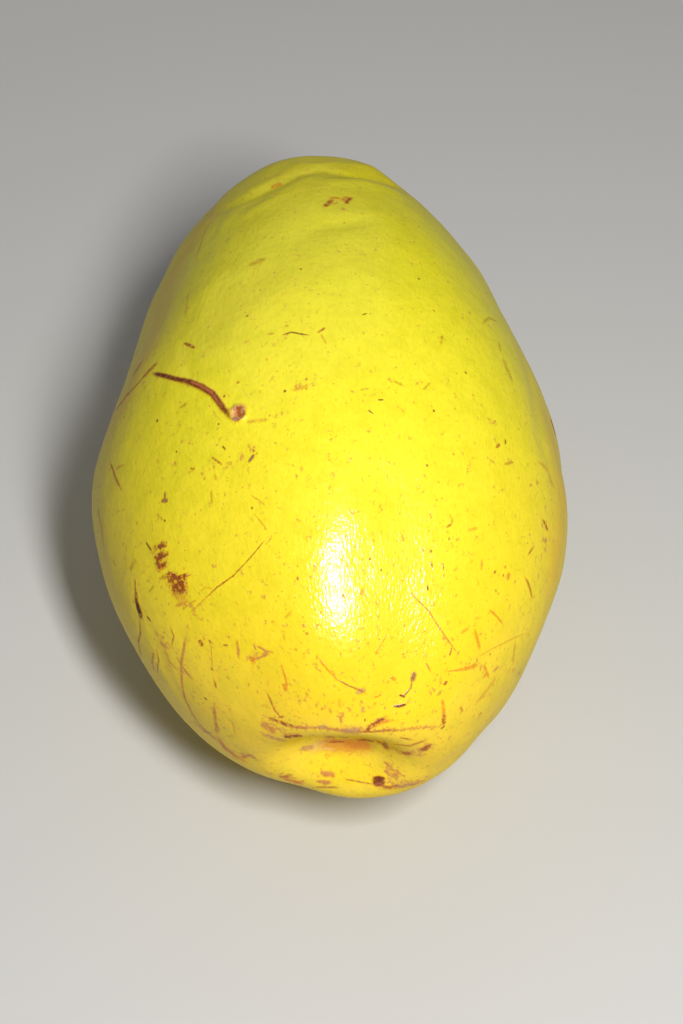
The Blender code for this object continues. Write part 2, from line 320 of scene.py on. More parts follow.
        (1.15, (330, 744.5), (340, 745), (352, 745.5), (363, 745)),
    ),
    # Painted highlights: pale patches that stand for glints on the lit lower wall of the calyx basin
    "painted_glint": (
        (0.30, (322, 749), (334, 750)), (0.80, (314, 748), (320, 745)),
    ),
}
# Place in a mark that means none, length of a spot against its half width, and how far from a run
# of a mark a face can lie and still show it, as a share of its half width and a margin on top
NO_MARK = 9.0
SPOT_LENGTH = 0.1
MARK_REACH = 1.8
MARK_MARGIN = 0.9 * MM

# Stained skin, where pinkish russet mottles: half width in millimetres, strength, pixels
STAINS = (
    (1.1, 0.80, ((268, 724), (284, 731), (300, 735))),
    (0.8, 0.75, ((284, 725), (318, 728), (352, 731), (400, 731), (438, 727))),
    (1.0, 0.80, ((372, 726), (388, 721))),
    (1.5, 0.85, ((382, 744), (405, 753), (418, 753), (427, 747))),
    (0.9, 0.80, ((326, 742), (345, 741), (372, 741))),
    (1.6, 0.80, ((390, 769), (398, 774), (394, 785), (408, 784), (424, 779))),
    (1.3, 0.80, ((284, 776), (292, 780), (300, 783))),
    (1.0, 0.75, ((320, 773), (330, 774), (326, 783))),
    (1.4, 0.85, ((198, 726), (210, 734), (222, 745), (236, 755), (252, 756))),
    (1.0, 0.60, ((213, 704), (217, 735))),
    (1.3, 0.60, ((157, 640), (168, 645))),
    (1.6, 0.60, ((172, 600), (190, 603), (196, 612))),
    (1.4, 0.55, ((156, 556), (178, 582))),
    (1.0, 0.60, ((252, 659), (270, 651))),
    (1.2, 0.50, ((284, 688), (300, 700), (340, 712), (366, 708))),
    (1.4, 0.36, ((432, 690), (450, 674), (476, 664))),
    (1.2, 0.36, ((484, 667), (519, 672), (528, 660))),
    (1.3, 0.36, ((492, 420), (500, 446), (512, 462))),
    (1.3, 0.36, ((544, 520), (548, 541), (530, 594))),
    (1.2, 0.50, ((325, 204), (350, 200))),
    (1.2, 0.55, ((296, 390), (307, 382))),
    (1.0, 0.50, ((222, 470), (252, 452))),
)
# Golden tint and painted edge shade: darker, warmer bands along both outlines of the fruit as the camera
# sees them, in the same terms
GOLDEN_EDGE_SHADES = (
    (5.5, 0.90, ((200, 228), (170, 280), (157, 325), (141, 364), (118, 410))),
    (5.0, 0.80, ((551, 430), (561, 480), (562, 520), (555, 570))),
)

# Scattered flecks: how many, how many times thicker they lie at the calyx end and in clusters,
# their sizes in millimetres, how far they stray from the long way of the fruit, and their kinds,
# which change over from calyx end to stem end
FLECK_SEED = 7
FLECK_COUNT = 1500
FLECK_CROWDING = 5.0
FLECK_LEAST_CROWD = 0.4
FLECK_CLUSTER_RISE = (0.6, 1.8)
FLECK_CLUSTER_SIZE = 14 * MM
FLECK_HALF_WIDTHS = (0.11, 0.24)
FLECK_HALF_LENGTH = 0.09
FLECK_SPREAD = 0.75
LONGEST_FLECK = 1.6
FLECK_NUDGE = (-0.4, 0.4)
FLECK_LENGTHWISE_ODDS = 0.8
FLECK_STRAY = 0.55
FLECK_STRENGTHS = (0.15, 0.72)
KIND_CHANGE = (1.3, 0.15)
CALYX_FLECKS = (("tan", 0.34), ("olive", 0.18), ("pink", 0.20), ("brown", 0.10), ("orange", 0.18))
STEM_FLECKS = (("olive", 0.62), ("tan", 0.26), ("brown", 0.07), ("dark", 0.05))

# Strokes on the side that the photograph hides: how many, their sizes in millimetres, how far they
# stray from the long way of the fruit and how much they bend
STROKE_SEED = 11
STROKE_COUNT = 210
STROKE_CROWDING = 3.0
STROKE_HALF_WIDTHS = (0.13, 0.32)
STROKE_LENGTH = 2.2
STROKE_SPREAD = 0.80
LONGEST_STROKE = 14.0
STROKE_STRAY = 0.65
STROKE_BEND = 0.30
STROKE_RUNS = 4
STROKE_STRENGTHS = (0.50, 1.00)
STROKE_KINDS = (("brown", 0.34), ("tan", 0.24), ("olive", 0.18), ("pink", 0.14), ("rust", 0.10))
# Cosine of the skin's slant to the camera below which it counts as hidden
HIDDEN_SLANT = -0.12

# Scars that stand proud: half width and height in millimetres, and pixels of the photograph
RAISED = (
    (0.38, 0.16, ((157, 374), (170, 377), (184, 380.5))),
    (0.55, 0.26, ((184, 380.5), (190, 382), (202, 387), (213, 394), (219, 402), (224, 409), (229, 414))),
    (0.48, 0.30, ((231, 411), (236, 406.5), (241, 406), (245.5, 409.5), (246.5, 414), (243, 419.5),
                  (237, 421.5), (232, 418), (231, 411))),
    (0.60, -0.20, ((238.5, 414),)),
    (0.45, 0.14, ((136.6, 597), (139, 609), (141.5, 617))),
    (0.80, 0.12, ((376.4, 781.5), (380.4, 780.8))),
)
SCAR_CRUMB_SIZE = 0.7 * MM
SCAR_CRUMB_SHARE = 0.5
# Soft folds and dents of the skin, in the same terms
FOLDS = (
    (1.30, -0.14, ((184, 346), (186, 360), (189, 375))),
    (2.20, -0.30, ((520, 352), (532, 385), (539, 424), (543, 450))),
    (1.40, -0.16, ((153, 634), (161, 652), (167, 670), (178, 692))),
    (2.00, -0.16, ((320, 230), (340, 225), (360, 222))),
    (2.20, 0.09, ((318, 216), (345, 212), (372, 214))),
    (1.20, -0.12, ((205, 256), (213, 236), (222, 222))),
    (6.50, -1.15, ((398, 495), (402, 545), (405, 590), (407, 640), (404, 685))),
    (8.50, 0.85, ((318, 645), (345, 645))),
    (2.60, 0.40, ((230, 221), (247, 213), (280, 195), (310, 181), (363, 182), (392, 191))),
    (1.70, -0.45, ((193, 219), (222, 210), (245, 200), (270, 189), (302, 174), (321, 170), (356, 176),
                   (386, 181))),
    (1.60, 0.25, ((252, 189), (280, 176), (300, 165), (340, 163), (372, 168))),
)

# The skin's own coordinates in millimetres: its radius halfway, the power by which this falls
# towards the poles, and the way along it for each radian. Then, in metres, how far the russet of
# the calyx end and of the stem end reaches, and where in a knob's radius its wood ends.
MAIN_RADIUS_MM = 44.0
RADIUS_FALL = 0.7
MERIDIAN_MM = 64.0
END_REACHES = (0.015, 0.014)
WOOD_EDGES = ((0.5, 0.9), (0.75, 1.15))
ENDS = ((CALYX_BASIN, CALYX_SCAR, -1), (STEM_HOLLOW, STALK_STUB, 1))

# Ragged rim of the stalk: its waves are (count, share of the height, start)
RIM_RADIUS = 0.0021
RIM_HALF_WIDTH = 0.0007
RIM_HEIGHT = 0.0005
RIM_WAVES = ((3, 0.35, 1.0), (7, 0.25, 0.0))

# Ground colour from the calyx end to the stem end, and how far a drift of the pattern moves it
GROUND_STOPS = (
    (0.00, (0.86, 0.58, 0.024)), (0.14, (0.92, 0.70, 0.026)), (0.38, (0.88, 0.76, 0.026)),
    (0.62, (0.81, 0.75, 0.020)), (0.82, (0.72, 0.63, 0.012)), (1.00, (0.58, 0.47, 0.010)),
)
GROUND_DRIFT = 0.25
# Patterns of noise: size in millimetres, detail, roughness and scale along the fruit
PATTERNS = {
    "drift": (26.0, 2.0, 0.50, 1.0),
    "mottle": (4.0, 4.0, 0.60, 1.0),
    "grain": (0.55, 2.0, 0.70, 0.55),
    "pored": (3.1, 2.0, 0.50, 1.0),
    "streaks": (1.1, 3.0, 0.65, 0.16),
    "fibres": (0.5, 3.0, 0.70, 1.0),
    "specks": (1.25, 4.0, 0.68, 0.80),
    "ragged": (0.42, 4.0, 0.75, 1.0),
    "patchy": (0.8, 2.0, 0.60, 1.0),
    "wrinkles": (0.52, 1.5, 0.60, 0.17),
    "bulges": (1.6, 2.0, 0.50, 1.0),
    "crumbs": (0.3, 2.0, 0.70, 1.0),
}
# Layers of colour: the values of their pattern at which they are full and gone, how much full is,
# and the colour. Golden goes by height in millimetres, a halo by distance, 1 at the mark's edge.
LAYERS = {
    "golden": (45.0, 80.0, 1.00, (1.00, 0.88, 0.60, 1.0)),
    "dark mottle": (0.36, 0.56, 0.26, (0.66, 0.58, 0.010, 1.0)),
    "light mottle": (0.66, 0.48, 0.20, (0.92, 0.74, 0.030, 1.0)),
    "grain": (0.34, 0.56, 0.20, (0.60, 0.50, 0.010, 1.0)),
    "calyx russet": (0.62, 0.42, 0.16, (0.62, 0.27, 0.030, 1.0)),
    "stem russet": (0.70, 0.45, 0.90, (0.33, 0.24, 0.020, 1.0)),
    "fibres": (0.62, 0.38, 1.00, (0.32, 0.19, 0.080, 1.0)),
    "stain": (0.73, 0.60, 0.75, (0.60, 0.23, 0.045, 1.0)),
    "halo": (0.70, 1.70, 0.60, (0.95, 0.62, 0.50, 1.0)),
}
# Tint multiplied in along both outlines of the fruit: golden colour together with painted edge shade
GOLDEN_EDGE_SHADE_TINT = (1.00, 0.78, 0.40, 1.0)
PORE_COLOUR = (0.36, 0.26, 0.010, 1.0)
WOOD_COLOUR = (0.07, 0.036, 0.014, 1.0)
# Ramps in the same terms: pores and the places that have them, the calyx end's own stain, and how
# patchy and how wide a mark is
PORE_RAMP = (0.05, 0.13, 0.55)
PORED_RAMP = (0.60, 0.44)
CALYX_STAIN_RAMP = (0.10, 0.50, 0.12)
PATCHY_RAMP = (0.34, 0.56)
MARK_RAMP = (0.45, 1.20)
PORE_SPACING_MM = 1.9
STAIN_PULL = 0.24
MARK_BLUNTNESS = 4.0
MARK_WOBBLE = 3.2
# Fine relief in millimetres, and the sheen of the skin and of its wax
WRINKLE_HEIGHT = 0.042
BULGE_HEIGHT = 0.115
CRUMB_HEIGHT = 0.10
PORE_DEPTH = 0.03
WAX_WRINKLE_HEIGHT = 0.065
SKIN_ROUGHNESS = 0.42
SCAR_EXTRA_ROUGHNESS = 0.25
SPECULAR_LEVEL = 0.03
COAT_WEIGHT = 0.135
COAT_IOR = 3.5
COAT_ROUGHNESS = 0.22

Mark = namedtuple("Mark", "kind half_width route strength")
Pose = namedtuple("Pose", "place turn")


def steered(values, share):
    """Smooth curve (a uniform cubic B-spline) steered by evenly spaced values, level at its ends."""
    padded = np.array((values[1],) + values + (values[-2],))
    place = np.clip(share, 0.0, 1.0) * (len(values) - 1)
    first = np.minimum(place.astype(int), len(values) - 2)
    u = place - first
    a, b, c, d = (padded[first + k] for k in range(4))
    return ((1 - u) ** 3 * a + (3 * u ** 3 - 6 * u ** 2 + 4) * b
            + (-3 * u ** 3 + 3 * u ** 2 + 3 * u + 1) * c + u ** 3 * d) / 6


def smooth_step(low, high, value):
    """Even ramp from 0 at low to 1 at high."""
    share = np.clip((value - low) / (high - low), 0.0, 1.0)
    return share * share * (3 - 2 * share)


def hump(distance, half_width):
    """Bell of height 1 that has died away at about twice its half width."""
    return np.exp(-(distance / half_width) ** 2)


def distance_to_route(points, route):
    """Shortest distance from each point to a chain of straight runs, or to a route of one point."""
    nearest = np.full(len(points), np.inf)
    for start, end in zip(route, route[1:] or route):
        start, run = np.array(start), np.subtract(end, start)
        share = np.clip((points - start) @ run / max(run @ run, TINY), 0.0, 1.0)
        gap = np.linalg.norm(points - start - share[:, None] * run, axis=1)
        nearest = np.minimum(nearest, gap)
    return nearest


def end_depth(points, bowl, knob):
    """How deep an end is sunk at each point, less the small knob that stands on its floor."""
    middle_x, middle_z, half_width, half_height, tilt, depth = bowl
    dx, dz = points[:, 0] - middle_x, points[:, 2] - middle_z
    across = (dx * math.cos(tilt) + dz * math.sin(tilt)) / half_width
    up = (dz * math.cos(tilt) - dx * math.sin(tilt)) / half_height
    knob_x, knob_z, knob_radius, knob_height = knob
    gap = np.hypot(points[:, 0] - knob_x, points[:, 2] - knob_z)
    return (depth * np.exp(-np.hypot(across, up) ** BOWL_STEEPNESS)
            - knob_height * hump(gap, knob_radius))


def turn_and_around(directions):
    """Angle from the calyx pole, and angle from the top towards +X, of each direction."""
    return (np.arccos(np.clip(-directions[:, 1], -1.0, 1.0)),
            np.arctan2(directions[:, 0], directions[:, 2]))


def fruit_points(directions):
    """Points of the skin, from the fruit's own middle, that directions stand for."""
    turn, around = turn_and_around(directions)
    share = turn / math.pi
    fade = smooth_step(*LOBE_FADE, np.cos(around)) * np.sin(turn) ** 2
    swell = sum(steered(heights, share) * np.cos(count * (around - math.radians(crest)))
                for count, crest, heights in LOBES)
    half_width = np.sin(turn) * steered(REACH, share) * (1 + fade * swell / REACH[3])
    points = np.stack((steered(DRIFT, share) + half_width * np.sin(around),
                       -HALF_LENGTH * np.cos(turn),
                       HEIGHT_SHARE * half_width * np.cos(around)), axis=1)
    height = sum(height * hump(distance_to_route(points, route), half_width)
                 for half_width, height, route in RELIEF)
    points += directions * height[:, None]
    calyx_end = directions[:, 1] < 0
    points[calyx_end, 1] += end_depth(points[calyx_end], CALYX_BASIN, CALYX_SCAR)
    points[~calyx_end, 1] -= end_depth(points[~calyx_end], STEM_HOLLOW, STALK_STUB)
    return points


def resting_shift(points):
    """Shift that brings the fruit from its own middle to where the solid lies in the frame."""
    low, high = points.min(axis=0), points.max(axis=0)
    box_low, box_high = (np.array(corner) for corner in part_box("fruit"))
    shift = (box_low + box_high - low - high) / 2
    shift[2] = box_low[2] - low[2] - FLAT_DEPTH
    return shift


def directions_of(net):
    return np.array([vertex.co[:] for vertex in net.verts])


def make_net():
    """Unit sphere with its poles on Y, in a fixed order. Its rings lie closer at the poles."""
    net = bmesh.new()
    turns = np.linspace(0.0, math.pi, POLE_TO_POLE_STEPS + 1)
    turns -= POLE_CLOSENESS / 2 * np.sin(2 * turns)
    arounds = np.arange(AROUND_STEPS) * 2 * math.pi / AROUND_STEPS
    rings = [[net.verts.new((math.sin(turn) * math.sin(around), -math.cos(turn),
                             math.sin(turn) * math.cos(around))) for around in arounds]
             for turn in turns[1:-1]]
    calyx_pole, stem_pole = net.verts.new((0.0, -1.0, 0.0)), net.verts.new((0.0, 1.0, 0.0))
    for step in range(AROUND_STEPS):
        net.faces.new((calyx_pole, rings[0][step], rings[0][step - 1]))
        for near, far in zip(rings, rings[1:]):
            net.faces.new((near[step - 1], near[step], far[step], far[step - 1]))
        net.faces.new((rings[-1][step - 1], rings[-1][step], stem_pole))
    net.verts.index_update()
    return net


def split_near(net, shift, routes):
    """Split the faces of the net near the routes, round by round, and keep it on the sphere."""
    for reach in SPLIT_REACHES:
        middles = np.array([face.calc_center_median().normalized()[:] for face in net.faces])
        points = fruit_points(middles) + shift
        gap = np.min([distance_to_route(points, route) for route in routes], axis=0)
        near_faces = [face for face, near in zip(net.faces, gap < reach) if near]
        edges = dict.fromkeys(edge for face in near_faces for edge in face.edges)
        bmesh.ops.subdivide_edges(net, edges=list(edges), cuts=1, use_grid_fill=True)
        for vertex in net.verts:
            vertex.co.normalize()


def net_surface(net, shift):
    """Search tree of the skin that the net stands for."""
    points = fruit_points(directions_of(net)) + shift
    faces = [[vertex.index for vertex in face.verts] for face in net.faces]
    return BVHTree.FromPolygons(points.tolist(), faces)


def camera_pose(middle):
    """Place and turn of the camera, which looks down on the calyx end of the fruit."""
    back = Vector((0.0, -math.cos(ELEVATION), math.sin(ELEVATION)))
    return Pose(middle + Vector(AIM) + back * DISTANCE, back.to_track_quat("Z", "Y"))


def seen_point(surface, pose, pixel):
    """Point of the skin behind a pixel of the photograph. A pixel just off the fruit is pulled in."""
    focal = LENS / SENSOR_HEIGHT * PICTURE_SIZE[1]
    middle, pixel = Vector(FRUIT_PIXEL), Vector(pixel)
    for pull in np.arange(0.0, 1.0, PULL_STEP):
        x, y = pixel.lerp(middle, pull)
        ray = Vector(((x - PICTURE_SIZE[0] / 2) / focal, (PICTURE_SIZE[1] / 2 - y) / focal, -1.0))
        hit = surface.ray_cast(pose.place, pose.turn @ ray)[0]
        if hit:
            return hit


def seen_route(surface, pose, pixels):
    """Points of the skin along a route of pixels, close enough together to follow its curve."""
    route = [seen_point(surface, pose, pixels[0])]
    for start, end in zip(pixels, pixels[1:]):
        steps = math.ceil(math.dist(start, end) / ROUTE_STEP_PIXELS)
        for step in range(1, steps + 1):
            pixel = Vector(start).lerp(Vector(end), step / steps)
            route.append(seen_point(surface, pose, pixel))
    return route


def true_half_width(half_width, route, surface, pose):
    """Half width on the skin of a mark that looks so wide from the camera."""
    along = route[-1] - route[0]
    if along.length < MM:
        return half_width
    middle = route[len(route) // 2]
    across = surface.find_nearest(middle)[1].cross(along).normalized()
    slant = across.dot((pose.place - middle).normalized())
    return half_width / max(math.sqrt(1 - slant * slant), SLIMMEST)


def mesh_from_net(net, shift):
    """Mesh of the skin with the solid's form, and the direction of each of its vertices."""
    directions = directions_of(net)
    points = fruit_points(directions) + shift
    mesh = bpy.data.meshes.new("fruit_skin")
    net.to_mesh(mesh)
    net.free()
    mesh.vertices.foreach_set("co", points.ravel())
    mesh.update()
    mesh.shade_smooth()
    return mesh, directions


def vertex_values(mesh, name):
    values = np.empty(len(mesh.vertices) * 3)
    mesh.vertices.foreach_get(name, values)
    return values.reshape(-1, 3)


def stalk_rim(points):
    """Height of the ragged rim where the stalk broke off, for points from the fruit's middle."""
    from_stalk = np.stack((points[:, 0] - STALK_STUB[0], points[:, 2] - STALK_STUB[1]), axis=1)
    around = np.arctan2(from_stalk[:, 1], from_stalk[:, 0])
    ragged = sum((share * np.sin(count * around + start) for count, share, start in RIM_WAVES), 1)
    gap = np.linalg.norm(from_stalk, axis=1) - RIM_RADIUS
    return (points[:, 1] > 0) * RIM_HEIGHT * ragged * hump(gap, RIM_HALF_WIDTH)


def lift_skin(mesh, surface, pose, shift):
    """Give the skin its gentle lumps, its soft folds and the scars that stand proud."""
    points, normals = vertex_values(mesh, "co"), vertex_values(mesh, "normal")
    height = stalk_rim(points - shift)
    for size, rise in LUMPS:
        height += rise * np.array([noise.noise(Vector(point) / size) for point in points])
    rough = np.array([noise.noise(Vector(point) / SCAR_CRUMB_SIZE) for point in points])
    for half_width, rise, pixels in FOLDS:
        gap = distance_to_route(points, seen_route(surface, pose, pixels))
        height += rise * MM * hump(gap, half_width * MM)
    for half_width, rise, pixels in RAISED:
        gap = distance_to_route(points, seen_route(surface, pose, pixels))
        height += rise * MM * hump(gap, half_width * MM) * (1 + SCAR_CRUMB_SHARE * rough)
    points += normals * height[:, None]
    points[:, 2] = np.maximum(points[:, 2], 0.0)
    mesh.vertices.foreach_set("co", points.ravel())
    mesh.update()


def lay_rind(mesh, directions, shift):
    """Write the skin's own coordinates in millimetres, and how near it lies to either end."""
    turn, around = turn_and_around(directions)
    radius = MAIN_RADIUS_MM * np.sin(turn) ** RADIUS_FALL
    rind = np.stack((radius * np.cos(around), radius * np.sin(around), MERIDIAN_MM * turn), axis=1)
    points = vertex_values(mesh, "co") - shift
    ends = np.zeros_like(points)
    for column, (bowl, knob, side) in enumerate(ENDS):
        gap = np.hypot(points[:, 0] - bowl[0], points[:, 2] - bowl[1])
        at_end = points[:, 1] * side > 0
        ends[:, column] = at_end * (1 - smooth_step(0.0, END_REACHES[column], gap))
        knob_gap = np.hypot(points[:, 0] - knob[0], points[:, 2] - knob[1])
        ends[:, 2] += at_end * (1 - smooth_step(*WOOD_EDGES[column], knob_gap / knob[2]))
    for name, values in (("rind", rind), ("ends", ends)):
        attribute = mesh.attributes.new(name, "FLOAT_VECTOR", "POINT")
        attribute.data.foreach_set("vector", values.ravel())


def lay_patches(mesh, surface, pose, name, patches):
    """Write how deep in the named kind of soft patch the skin lies, from 0 to 1."""
    points = vertex_values(mesh, "co")
    depth = np.zeros(len(points))
    for half_width, strength, pixels in patches:
        gap = distance_to_route(points, seen_route(surface, pose, pixels))
        depth = np.maximum(depth, strength * hump(gap, half_width * MM))
    mesh.attributes.new(name, "FLOAT", "POINT").data.foreach_set("value", depth)


class Run:
    """One straight stretch of a mark, from which a point of the skin reads its place in the mark."""

    def __init__(self, mark, start, end, done, total, normal):
        self.mark = mark
        self.middle = (start + end) / 2
        self.half = (end - start).length / 2
        self.along = (end - start).normalized()
        self.across = normal.cross(self.along).normalized()
        self.done = done + self.half
        self.total = total

    def gap(self, point):
        """Distance from a point to the edge of the mark."""
        offset = point - self.middle
        beyond = offset - self.along * min(max(offset.dot(self.along), -self.half), self.half)
        return beyond.length - self.mark.half_width

    def place(self, point):
        """Place across and along the mark, both 1 at its edge, and the raggedness of the edge."""
        offset = point - self.middle
        along = self.done + offset.dot(self.along) - self.total / 2
        return (offset.dot(self.across) / self.mark.half_width,
                along / (self.total / 2 + self.mark.half_width), KINDS[self.mark.kind][2])


def runs_of(mark, surface):
    """The straight stretches of a mark. A mark of one point becomes a short run along the fruit."""
    route = list(mark.route)
    if len(route) == 1:
        nudge = Vector((0.0, SPOT_LENGTH * mark.half_width, 0.0))
        route = [route[0] - nudge, route[0] + nudge]
    lengths = [(end - start).length for start, end in zip(route, route[1:])]
    done = 0.0
    for start, end, length in zip(route, route[1:], lengths):
        normal = surface.find_nearest((start + end) / 2)[1]
        yield Run(mark, start, end, done, sum(lengths), normal)
        done += length


def nearest_runs(mesh, surface, marks):
    """The run of each of the two nearest marks, by face."""
    tree = kdtree.KDTree(len(mesh.polygons))
    for face in mesh.polygons:
        tree.insert(face.center, face.index)
    tree.balance()
    nearest = {}
    by_gap = itemgetter(0)
    for mark in marks:
        offers = {}
        for run in runs_of(mark, surface):
            reach = run.half + MARK_REACH * mark.half_width + MARK_MARGIN
            for centre, index, _ in tree.find_range(run.middle, reach):
                offer = (run.gap(centre), run)
                offers[index] = min(offers.get(index, offer), offer, key=by_gap)
        for index, offer in offers.items():
            nearest[index] = sorted(nearest.get(index, []) + [offer], key=by_gap)[:2]
    return {index: [run for _, run in offers] for index, offers in nearest.items()}


def lay_marks(mesh, surface, marks):
    """Write, at the corners of each face, its place in the two nearest marks and their colours."""
    nearest = nearest_runs(mesh, surface, marks)
    corners = len(mesh.loops)
    for slot in range(2):
        places = np.tile((NO_MARK, 0.0, 0.0), (corners, 1))
        colours = np.zeros((corners, 4))
        for index, runs in nearest.items():
            if slot < len(runs):
                run = runs[slot]
                colour, strength, _ = KINDS[run.mark.kind]
                for corner in mesh.polygons[index].loop_indices:
                    point = mesh.vertices[mesh.loops[corner].vertex_index].co
                    places[corner] = run.place(point)
                    colours[corner] = (*colour, strength * run.mark.strength)
        place = mesh.attributes.new(f"mark_place_{slot}", "FLOAT_VECTOR", "CORNER")
        place.data.foreach_set("vector", places.ravel())
        colour = mesh.attributes.new(f"mark_colour_{slot}", "FLOAT_COLOR", "CORNER")
        colour.data.foreach_set("color", colours.ravel())


def seen_marks(surface, pose):
    """The marks that the photograph shows, each where it shows it."""
    for kind, marks in SEEN_MARKS.items():
        for half_width, *pixels in marks:
            route = seen_route(surface, pose, pixels)
            yield Mark(kind, true_half_width(half_width * MM, route, surface, pose), route, 1.0)


def share_along(y, middle):
    """Share of the way from the calyx end to the stem end."""
    return (y - middle.y) / HALF_LENGTH / 2 + 0.5


def along_fruit(normal):
    """Direction in the skin, where it has this normal, that runs the long way of the fruit."""
    return normal.cross(Vector((0, 1, 0)).cross(normal)).normalized()


def fleck_crowd(point):
    """How thick the flecks lie at a point, because they gather in clusters."""
    cluster = noise.noise(Vector(point) / FLECK_CLUSTER_SIZE)
    return FLECK_LEAST_CROWD + max(0.0, FLECK_CLUSTER_RISE[0] + FLECK_CLUSTER_RISE[1] * cluster)


def scattered_flecks(mesh, middle):
    """Small flecks by a seeded draw: more of them at the calyx end, most along the fruit."""
    draw = np.random.default_rng(FLECK_SEED)
    faces = mesh.polygons
    centres = np.array([face.center[:] for face in faces])
    share = share_along(centres[:, 1], middle)
    crowd = np.array([fleck_crowd(centre) for centre in centres])
    weights = np.array([face.area for face in faces]) * crowd * FLECK_CROWDING ** (0.5 - share) * 2
    for index in draw.choice(len(faces), size=FLECK_COUNT, p=weights / weights.sum()):
        normal = faces[index].normal
        along = along_fruit(normal)
        across = normal.cross(along)
        lengthwise = draw.random() < FLECK_LENGTHWISE_ODDS
        angle = draw.normal(0.0, FLECK_STRAY) if lengthwise else draw.uniform(0, math.pi)
        heading = along * math.cos(angle) + across * math.sin(angle)
        nudge = along * draw.uniform(*FLECK_NUDGE) + across * draw.uniform(*FLECK_NUDGE)
        centre = Vector(centres[index]) + nudge * MM
        half_length = FLECK_HALF_LENGTH * MM * draw.lognormal(0.0, FLECK_SPREAD)
        half_length = min(half_length, LONGEST_FLECK * MM)
        calyx_kind = draw.random() > share[index] * KIND_CHANGE[0] - KIND_CHANGE[1]
        kinds, odds = zip(*(CALYX_FLECKS if calyx_kind else STEM_FLECKS))
        kind = draw.choice(kinds, p=odds)
        half_width = draw.uniform(*FLECK_HALF_WIDTHS) * MM
        route = [centre - heading * half_length, centre + heading * half_length]
        yield Mark(kind, half_width, route, draw.uniform(*FLECK_STRENGTHS))


def hidden_strokes(mesh, surface, pose, middle):
    """Curved strokes by a seeded draw on the hidden side, most of them at the calyx end."""
    draw = np.random.default_rng(STROKE_SEED)
    hidden = [face for face in mesh.polygons
              if face.normal.dot((pose.place - face.center).normalized()) < HIDDEN_SLANT]
    share = share_along(np.array([face.center.y for face in hidden]), middle)
    weights = np.array([face.area for face in hidden]) * STROKE_CROWDING ** (0.5 - share)
    kinds, odds = zip(*STROKE_KINDS)
    for index in draw.choice(len(hidden), size=STROKE_COUNT, p=weights / weights.sum()):
        normal = hidden[index].normal
        heading = Quaternion(normal, draw.normal(0.0, STROKE_STRAY)) @ along_fruit(normal)
        bend = Quaternion(normal, draw.normal(0.0, STROKE_BEND))
        length = min(STROKE_LENGTH * draw.lognormal(0.0, STROKE_SPREAD), LONGEST_STROKE) * MM
        route = [hidden[index].center.copy()]
        for _ in range(STROKE_RUNS):
            route.append(surface.find_nearest(route[-1] + heading * length / STROKE_RUNS)[0])
            heading = bend @ heading
        yield Mark(draw.choice(kinds, p=odds), draw.uniform(*STROKE_HALF_WIDTHS) * MM, route,
                   draw.uniform(*STROKE_STRENGTHS))


def add_node(tree, kind, inputs=None, **settings):
    """Node with its settings made and its inputs linked or set."""
    node = tree.nodes.new("ShaderNode" + kind)
    for name, value in settings.items():
        setattr(node, name, value)
    for name, value in (inputs or {}).items():
        if isinstance(value, bpy.types.NodeSocket):
            tree.links.new(value, node.inputs[name])
        else:
            node.inputs[name].default_value = value
    return node


def calc(tree, operation, *values):
    return add_node(tree, "Math", dict(enumerate(values)), operation=operation).outputs[0]


def times(tree, first, second):
    return calc(tree, "MULTIPLY", first, second)


def plus(tree, first, second):
    return calc(tree, "ADD", first, second)


def minus(tree, first, second):
    return calc(tree, "SUBTRACT", first, second)


def stretched(tree, vector, scales):
    """Vector multiplied part by part."""
    return add_node(tree, "VectorMath", {0: vector, 1: scales}, operation="MULTIPLY").outputs[0]


def parts_of(tree, vector):
    return add_node(tree, "SeparateXYZ", {0: vector}).outputs


def written(tree, name):
    """What the mesh has written under this name."""
    return add_node(tree, "Attribute", attribute_name=name).outputs


def noise_of(tree, vector, name):
    """The named pattern of noise, on coordinates in millimetres."""
    size, detail, roughness, along = PATTERNS[name]
    return add_node(tree, "TexNoise", {"Vector": stretched(tree, vector, (1.0, 1.0, along)),
                                       "Scale": 1 / size, "Detail": detail,
                                       "Roughness": roughness}).outputs["Fac"]


def ramp_down(tree, value, low, high, full=1.0):
    """full at low and below, 0 at high and above."""
    return add_node(tree, "MapRange", {"Value": value, "From Min": low, "From Max": high,
                                       "To Min": full, "To Max": 0.0},
                    interpolation_type="SMOOTHSTEP").outputs[0]


def mixed(tree, share, under, over, blend="MIX"):
    """Colour over laid on colour under by share."""
    node = add_node(tree, "Mix", {0: share, 6: under, 7: over}, data_type="RGBA", blend_type=blend)
    return node.outputs[2]


def laid(tree, name, value, under, within=1.0, blend="MIX"):
    """The named layer, where the value of its pattern asks for it, on the colour under it."""
    low, high, full, colour = LAYERS[name]
    share = times(tree, within, ramp_down(tree, value, low, high, full))
    return mixed(tree, share, under, colour, blend)


def ground_colour(tree, place, turn, ends):
    """Yellow that changes from the calyx end to the stem end, golden low down, and darker and warmer
    along both outlines as the camera sees them: golden tint with painted edge shade.
    """
    drift = minus(tree, noise_of(tree, place, "drift"), 0.5)
    ramp = add_node(tree, "ValToRGB", {0: plus(tree, turn, times(tree, drift, GROUND_DRIFT))})
    stops = ramp.color_ramp.elements
    while len(stops) < len(GROUND_STOPS):
        stops.new(0.5)
    for stop, (position, colour) in zip(stops, GROUND_STOPS):
        stop.position = position
        stop.color = (*colour, 1.0)
    height = parts_of(tree, place)[2]
    ground = laid(tree, "golden", height, ramp.outputs[0], minus(tree, 1.0, ends[0]), "MULTIPLY")
    # Darker and warmer along both outlines as the camera sees them: golden tint with painted edge shade
    return mixed(tree, written(tree, "golden_edge_shade")["Fac"], ground, GOLDEN_EDGE_SHADE_TINT, "MULTIPLY")


